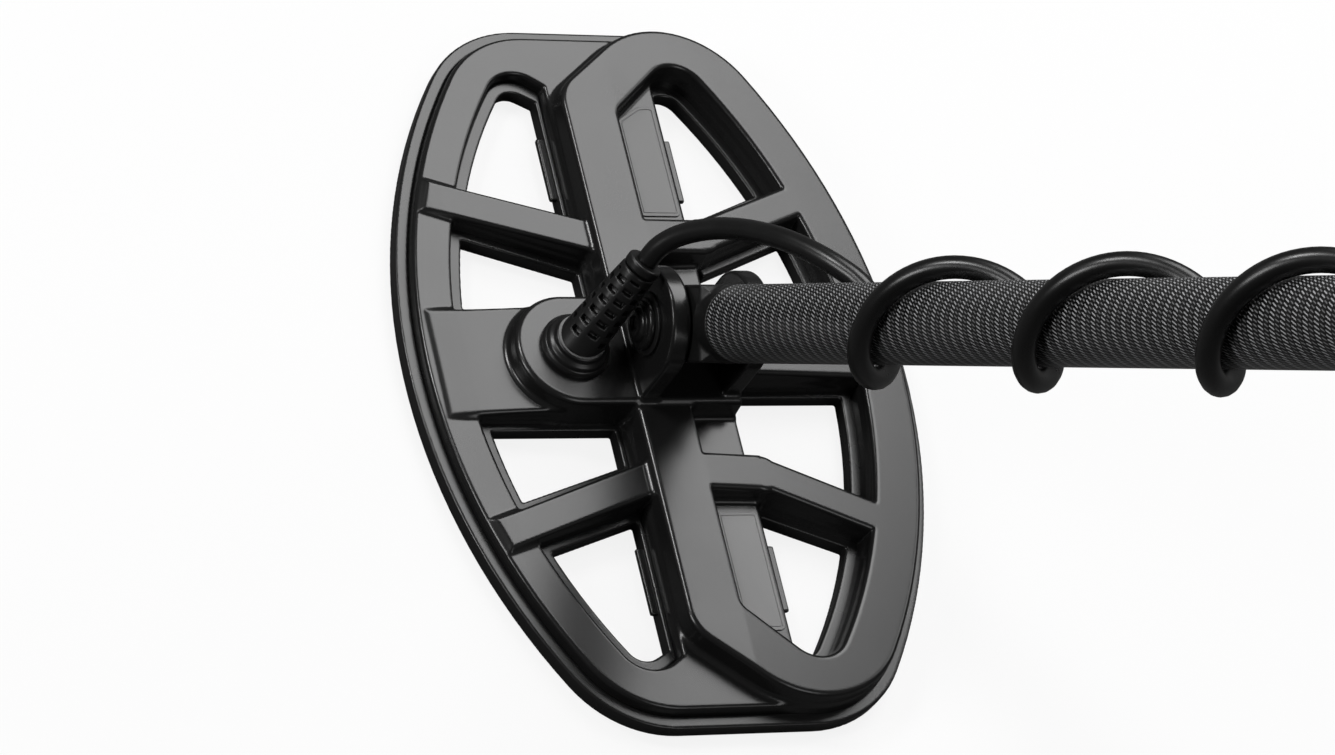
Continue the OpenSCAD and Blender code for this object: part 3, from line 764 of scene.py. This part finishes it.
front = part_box("front_label_plate")
(x0, y0), (x1, y1) = np.array(front[0])[:2] / MM, np.array(front[1])[:2] / MM
CUT_LONG, CUT_WIDE = 4.8, 7.6
front_corners = [(x0, y0), (x1 - 0.8, y0), (x1, y0 + 1.2), (x1, y1 - CUT_WIDE),
                 (x1 - CUT_LONG, y1), (x0, y1)]
rear_corners = [(-x, y) for x, y in reversed(front_corners)]
plate_low = front[0].z / MM
piece("front_label", [label_shell(front_corners, plate_low, 0.4)],
      moulded("label_dark", 0.045, 0.3, 0.2, 0.001), "coil",
      ("front_label_plate",))
piece("rear_label", [label_shell(rear_corners, plate_low, 0.4)],
      moulded("label_grey", 0.11, 0.32, 0.2, 0.001), "coil",
      ("rear_label_plate",))

# %% [markdown]
# ## Inside the coil
# The windings, the base plate and the small amplifier board are shut in by the housing. They keep
# their construction shapes and get real finishes, because the parts can be taken out and looked at.


# %% Finishes of the parts inside
def wire_bundle(name, colour):
    """Many turns of enamelled wire side by side: fine grooves one wire apart."""
    paint = Paint(name)
    parts = paint.node("ShaderNodeSeparateXYZ", None, {0: paint.place()})
    turns = (parts["Z"] / (0.4 * MM)).wave()
    patchy = paint.noise(paint.place(), 5, 3)
    tint = paint.mix(patchy, shade([c * 0.7 for c in colour]), shade(colour))
    return paint.finish(Base_Color=tint, Roughness=0.3 + turns * 0.2, Metallic=0.9,
                        Normal=paint.bump(turns, 0.12))


def circuit_board(name):
    paint = Paint(name)
    grid = paint.node("ShaderNodeTexVoronoi", {"distance": "MANHATTAN"},
                      {"Vector": paint.place(), "Scale": 420.0})
    tracks = grid.step(0.35, 0.42)
    tint = paint.mix(tracks, shade((0.02, 0.1, 0.05)), shade((0.03, 0.16, 0.08)))
    return paint.finish(Base_Color=tint, Roughness=0.35 + tracks * 0.1, Normal=paint.bump(tracks, 0.03))


def metal(name, colour, roughness, brush):
    """Metal with fine lines, brush millimetres apart."""
    paint = Paint(name)
    parts = paint.node("ShaderNodeSeparateXYZ", None, {0: paint.place()})
    stretched = paint.node("ShaderNodeCombineXYZ", None,
                           {0: parts["X"] / (brush * MM), 1: parts["Y"] * 60, 2: parts["Z"] * 60})
    lines = paint.node("ShaderNodeTexNoise", None, {"Vector": stretched, "Scale": 1.0})
    tint = paint.mix(lines, shade([c * 0.88 for c in colour]), shade(colour))
    return paint.finish(Base_Color=tint, Roughness=roughness + (lines - 0.5) * 0.16, Metallic=1.0,
                        Normal=paint.bump(lines, 0.002))


inside = {
    "base_plate": moulded("base_plastic", 0.05, 0.6),
    "transmit_winding": wire_bundle("copper_send", (0.6, 0.29, 0.13)),
    "receive_winding": wire_bundle("copper_receive", (0.64, 0.34, 0.15)),
    "preamp_board": circuit_board("solder_mask"),
    "board_parts": moulded("chip_epoxy", 0.03, 0.5, 0.15),
    "friction_washers": rubber("washer_rubber", 0.015, 0.75, 0.4, 0.01),
    "button_spring": metal("spring_steel", (0.55, 0.55, 0.57), 0.34, 0.3),
    "connector_insert": moulded("insert_plastic", 0.08, 0.55, 0.2),
    "connector_pins": metal("contact_gold", (0.8, 0.6, 0.25), 0.22, 0.2),
}
for node, paint in inside.items():
    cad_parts[node].data.materials.clear()
    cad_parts[node].data.materials.append(paint)
print("finished in place:", ", ".join(inside))

# %% [markdown]
# ## Gland and strain relief
# The cable climbs out of a stepped boss at the round end of the hub. Its strain relief is a tapered
# rubber sleeve with slots cut from alternate sides, so that it bends little at the foot and easily at
# the tip. Slots on two sides are awkward to cut from a mesh and simple as distances.

# %% Gland boss
gland_plastic = moulded("gland_plastic", 0.009, 0.32)
boss = [(0, -0.3), (10, -0.3), (10, 1.5), (9.5, 2.4), (9.2, 2.6), (8.9, 3.8), (7.9, 4.4), (7.6, 4.8),
        (7.6, 5.8), (7.2, 6.2), (0, 6.2)]
at_gland = Matrix.Translation((0, GLAND_FOOT[1], HUB_TOP))
piece("gland_boss", [turned(boss, at_gland, 0.45, 96)], gland_plastic, "coil",
      ("cable_gland",))

# %% Strain relief
BOOT_L, BOOT_R, BOOT_TIP_R, SLOT_PITCH = 30.6, 6.8, 5.2, 3.9


def boot_field(grid):
    x, y, z = grid.spread()
    around = np.hypot(x, y)
    fall = (BOOT_R - BOOT_TIP_R) / (BOOT_L - 3)
    sleeve = rounded(around - (BOOT_R - fall * z), z - BOOT_L + 3.1, 0.6)
    collar = rounded(around - BOOT_TIP_R, np.abs(z - BOOT_L + 1.4) - 1.4, 0.7)
    made = filleted(sleeve, collar, 0.3)
    angle = np.arctan2(y, x)
    column = np.round(angle / (math.pi / 4))
    across = around * np.sin(angle - column * math.pi / 4)
    row = (z - 4.4 - (column % 2) * SLOT_PITCH / 2) % SLOT_PITCH - SLOT_PITCH / 2
    slot = np.maximum(np.abs(across) - 1.45, np.abs(row) - 0.8)
    slot = np.maximum(slot, np.abs(z - 14.6) - 11)
    made = rounded(made, -slot, 0.35)
    core = np.maximum(around - 4.9 + 0.05 * z, np.abs(z - BOOT_L / 2) - BOOT_L / 2 + 0.8)
    return filleted(made, core, 0.3).astype(np.float32)


boot_grid = Grid((-7.6, -7.6, -0.9), (7.6, 7.6, BOOT_L + 0.9), 0.26)
boot_paint = rubber("boot_rubber", 0.009, 0.36, 0.4, 0.006)
skin("boot", boot_grid, boot_field(boot_grid), 0.5, ON_BOOT @ turned_by(22, "Z"), boot_paint,
     "coil", ("strain_relief",))

# %% [markdown]
# ## Hinge
# A black nylon bolt goes through both ears. Its head is stepped: a thin washer, a wide flange and a
# small domed cap. The nut on the other side has six flats with turned-off corners.

# %% Bolt, washers and nut
nylon = moulded("nylon_black", 0.01, 0.26, 0.3, 0.003)
head_at = EAR_OUT + 0.9
bolt = [(0, -24.3), (3.4, -24.3), (4, -23.6), (4, head_at - 0.1), (7.3, head_at - 0.1),
        (7.3, head_at + 1.1), (6.7, head_at + 1.7), (5.1, head_at + 1.75), (4.9, head_at + 2.6), (3.9, head_at + 3.2),
        (2.2, head_at + 3.2), (1.9, head_at + 2.5), (0, head_at + 2.5)]
piece("hinge_bolt", [turned(bolt, AT_PIVOT, 0.45, 96)], nylon, "coil",
      ("pivot_bolt",))


def washer(low, high, outer):
    return turned([(4.05, low), (outer, low), (outer, high), (4.05, high)], AT_PIVOT, 0.3, 96, True)


piece("bolt_washer_pair", [washer(EAR_OUT, head_at, 8.9), washer(-head_at, -EAR_OUT, 8.9)],
      moulded("washer_plastic", 0.012, 0.34), "coil", ("bolt_washers",))


# %% Nut
def hexagon_nut(across, low, high, flange):
    """A nut with a round flange. Its corners fall away at the free end, as turning leaves them."""
    rings = []
    for z, size, round_to in ((low, 0.86, across * 0.86), (low + 1.1, 1, across * 1.16),
                              (high - 1.5, 1, across * 1.16)):
        ring = []
        for k in range(96):
            a = math.tau * k / 96
            flat = across * math.cos(math.pi / 6) / math.cos((a % (math.pi / 3)) - math.pi / 6)
            ring.append((min(flat * size if size < 1 else flat, round_to), a, z))
        rings.append(ring)
    rim = ((flange - 0.2, high - 1.2), (flange, high - 1), (flange, high - 0.2), (flange - 0.2, high))
    for r, z in rim:
        rings.append([(r, math.tau * k / 96, z) for k in range(96)])
    for r, z in ((4.05, high), (4.05, low + 0.2), (4.4, low)):
        rings.append([(r, math.tau * k / 96, z) for k in range(96)])
    points = [(r * math.cos(a), r * math.sin(a), z) for ring in rings for r, a, z in ring]
    faces = []
    for i in range(len(rings)):
        j = (i + 1) % len(rings)
        for k in range(96):
            n = (k + 1) % 96
            faces.append((i * 96 + k, i * 96 + n, j * 96 + n, j * 96 + k))
    return moved(points, AT_PIVOT), faces


nut_high = -EAR_OUT - 1.2
piece("hinge_nut", [hexagon_nut(7.3, nut_high - 6.5, nut_high, 7.9)], nylon, "nut",
      ("pivot_nut",), 30)

# %% [markdown]
# ## Yoke
# The yoke is the black block between the ears. It is round where it turns, square above that, and is
# chamfered where it meets the carbon tube, into which its spigot is glued.

# %% Yoke
YOKE_HALF, YOKE_R, TUBE_R, TUBE_FROM, TUBE_TO = 9.4, 10.7, 10.75, 25.5, 515.0


def yoke_field(grid):
    x, y, z = grid.spread()
    disc = np.hypot(x, z) - YOKE_R
    tall = np.where(z > 0, np.abs(x) - YOKE_R, disc)
    block = rounded(tall, np.abs(y) - YOKE_HALF, 0.9)
    chamfer = (np.maximum(np.abs(y) - YOKE_HALF, np.abs(x) - YOKE_R) + z - TUBE_FROM + 6) * 0.7071
    block = rounded(block, np.maximum(chamfer, z - TUBE_FROM + 3.5), 0.5)
    around = np.hypot(x, y)
    collar = rounded(around - TUBE_R - 0.02, np.abs(z - TUBE_FROM + 4) - 3.9, 0.35)
    spigot = rounded(around - 9.1, np.abs(z - 40) - 18.4, 0.5)
    made = np.minimum(filleted(block, collar, 0.6), spigot)
    seat = np.maximum(np.hypot(x, z) - 8.9, YOKE_HALF - 0.9 - np.abs(y))
    bore = np.hypot(x, z) - 4.1
    return np.maximum(made, np.maximum(-seat, -bore)).astype(np.float32)


yoke_grid = Grid((-12, -12, -12), (12, 12, 60), 0.4)
# The yoke's colour is set darker than the other black plastics. This is painted shade, for the shade it lies in
# between the ears.
yoke_paint = moulded("yoke_plastic", 0.005, 0.46, 0.35, 0.004)
skin("yoke_block", yoke_grid, yoke_field(yoke_grid), 0.3, ON_SHAFT, yoke_paint, "shaft",
     ("yoke",))

# %% [markdown]
# ## Carbon tube
# The tube is wound from twill: tows of fibre that go round it cross tows that run along it, two over
# and two under. The tows that go round are drawn as ropes of short slanted dashes, with darker lanes
# between them, under clear resin. The dashes' brightness is a painted highlight: the fibres' glint is
# painted into their colour. The pattern is worked out from two lengths measured on the surface,
# along the shaft and round it, so it needs no unwrapping.


# %% Carbon weave
ROPE_GAP, DASH_GAP, DASH_RISE = 4.6, math.tau * TUBE_R / 64, 2


def carbon(name):
    """Ropes of slanted dashes, ROPE_GAP apart along the shaft, under clear resin.
    The dashes are a painted highlight: the fibres' glint painted into the colour.
    """
    paint = Paint(name)
    lean = math.radians(SHAFT_LEAN)
    along_axis = (-math.sin(lean) / MM, 0, math.cos(lean) / MM)
    side_axis = (math.cos(lean) / MM, 0, math.sin(lean) / MM)
    place = paint.node("ShaderNodeVectorMath", {"operation": "SUBTRACT"},
                       {0: paint.place(), 1: (0, 0, PIVOT_Z * MM)})
    dot = {"operation": "DOT_PRODUCT"}
    along = paint.node("ShaderNodeVectorMath", dot, {0: place, 1: along_axis})["Value"]
    side = paint.node("ShaderNodeVectorMath", dot, {0: place, 1: side_axis})["Value"]
    over = paint.node("ShaderNodeSeparateXYZ", None, {0: place})["Y"] / MM
    around = side.sum("ARCTAN2", over, side) * TUBE_R
    column, row = along / ROPE_GAP, around / DASH_GAP
    tall = (row - column * DASH_RISE).wave()
    first = column.wave().step(0.45, 0.8) * tall.step(0.58, 0.86)
    second = (column + 0.5).wave().step(0.6, 0.95) * (1 - tall).step(0.62, 0.9)
    gaps = (column + 0.25).wave().step(0.5, 0.95)
    fibres = paint.noise(place, 0.35, 3)
    # The dashes' glint is painted highlight, carried as a mask into the colour, roughness and relief
    painted_glint = (first + second * 0.4) * (0.7 + fibres * 0.6)
    ground = paint.mix(gaps, shade(0.008), shade(0.002))
    # Where the dashes lie, the colour goes to a pale grey. This is painted highlight, not the fibres' own colour
    tint = paint.mix(painted_glint.sum("MINIMUM", painted_glint, 1.0), ground, shade((0.5, 0.505, 0.515)))
    return paint.finish(Base_Color=tint, Roughness=0.38 - painted_glint * 0.08, Coat_Weight=0.12,
                        Coat_Roughness=0.16, Normal=paint.bump(painted_glint - gaps, 0.05))


BORE_R = 9.25
groove = TUBE_TO - 40 - 1.2
tube = [(BORE_R, TUBE_FROM), (TUBE_R, TUBE_FROM), (TUBE_R, groove), (TUBE_R - 0.25, groove),
        (TUBE_R - 0.25, groove + 1.2), (TUBE_R, groove + 1.2), (TUBE_R, TUBE_TO), (BORE_R, TUBE_TO)]
piece("shaft_tube", [turned(tube, ON_SHAFT, 0.15, 128, True)], carbon("carbon_weave"),
      "shaft", ("carbon_tube",))

# %% [markdown]
# ## Free end of the shaft
# The middle shaft slides over this end. A plug closes the tube, and a spring-loaded steel button
# clicks into the next tube's holes.

# %% End plug and snap button
plug_end = TUBE_TO + 1.6
end_cap = [(0, TUBE_TO - 11.6), (BORE_R - 0.6, TUBE_TO - 11.8), (BORE_R - 0.05, TUBE_TO - 11),
           (BORE_R - 0.05, TUBE_TO + 0.02), (TUBE_R - 0.4, TUBE_TO + 0.02),
           (TUBE_R - 0.5, plug_end - 0.3), (TUBE_R - 1.4, plug_end), (3, plug_end), (2.6, plug_end - 0.5), (0, plug_end - 0.5)]
piece("end_plug", [turned(end_cap, ON_SHAFT, 0.4, 96)], moulded("plug_plastic", 0.03, 0.5),
      "shaft", ("tube_plug",))
BUTTON_AT = TUBE_TO - 52
at_button = ON_SHAFT @ Matrix.Translation((0, 0, BUTTON_AT)) @ turned_by(90, "Y")
pin = [(0, 0), (3.4, 0), (3.4, TUBE_R + 2.2), (3.1, TUBE_R + 3.1), (2.2, TUBE_R + 3.65),
       (0, TUBE_R + 3.8)]
button_steel = metal("button_steel", (0.62, 0.62, 0.64), 0.2, 0.2)
piece("snap_pin", [turned(pin, at_button, 0.6, 64)], button_steel,
      "button", ("snap_button",))

# %% [markdown]
# ## Floor and light
# The floor is plain and pale. To the camera it is nearly white whatever the light, with a little of
# the real shading left in, so that the coil keeps a soft shadow. Black satin plastic shows its shape
# only by what it mirrors, so one large soft lamp stands where the flat tops of the rings mirror it,
# and weaker ones do the same for people who walk round the coil.

# %% Floor and world
backdrop = Paint("backdrop")
seen = backdrop.node("ShaderNodeLightPath")["Is Camera Ray"]
pale = backdrop.mix(seen, shade(0.1), shade(0.9))
lit = backdrop.node("ShaderNodeBsdfDiffuse", None, {"Color": pale})
glow = backdrop.node("ShaderNodeEmission", None, {"Color": shade(1.0), "Strength": 1.0})
blend = backdrop.node("ShaderNodeMixShader", None, {0: seen * 0.86, 1: lit, 2: glow})
backdrop.feed(backdrop.tree.nodes["Material Output"].inputs["Surface"], blend)
bpy.ops.mesh.primitive_plane_add(size=24, location=(0, 0, -0.0002))
floor = bpy.context.object
floor.name = "floor"
floor.data.materials.append(backdrop.material)

world = bpy.data.worlds.new("studio")
world.use_nodes = True
bpy.context.scene.world = world
tree = world.node_tree
path = tree.nodes.new("ShaderNodeLightPath")
share = tree.nodes.new("ShaderNodeMix")
share.data_type = "RGBA"
share.inputs[6].default_value = shade(0.05)
share.inputs[7].default_value = shade(1.0)
tree.links.new(path.outputs["Is Camera Ray"], share.inputs[0])
tree.links.new(share.outputs[2], tree.nodes["Background"].inputs["Color"])


# %% Soft lamps
def lamp(name, direction, away, size, power, aim=(0, 0, 0)):
    light = bpy.data.lights.new(name, "AREA")
    light.shape, light.size, light.energy = "DISK", size, power
    made = bpy.data.objects.new(name, light)
    toward = Vector(direction).normalized()
    made.location = Vector(aim) + toward * away
    made.rotation_mode = "QUATERNION"
    made.rotation_quaternion = (-toward).to_track_quat("-Z", "Y")
    bpy.context.scene.collection.objects.link(made)
    print(name, "at", [round(v, 2) for v in made.location])


lamp("key", (0.437, -0.4445, 0.782), 1.4, 1.0, 14, (0.17, 0.18, 0))
lamp("rim", (0.45, 0.61, 0.65), 1.9, 0.4, 12, (0, 0, 0.1))
lamp("low", (0.0, 1.0, 0.4), 1.9, 0.6, 10, (0, 0, 0.15))
lamp("behind", (0.3, -0.95, 0.55), 2.2, 1.0, 6, (0, 0, 0.15))
lamp("heel", (-0.9, -0.3, 0.8), 2.2, 1.0, 6, (0, 0, 0.1))

# %% View transform, and the end
bpy.context.scene.view_settings.view_transform = "Standard"
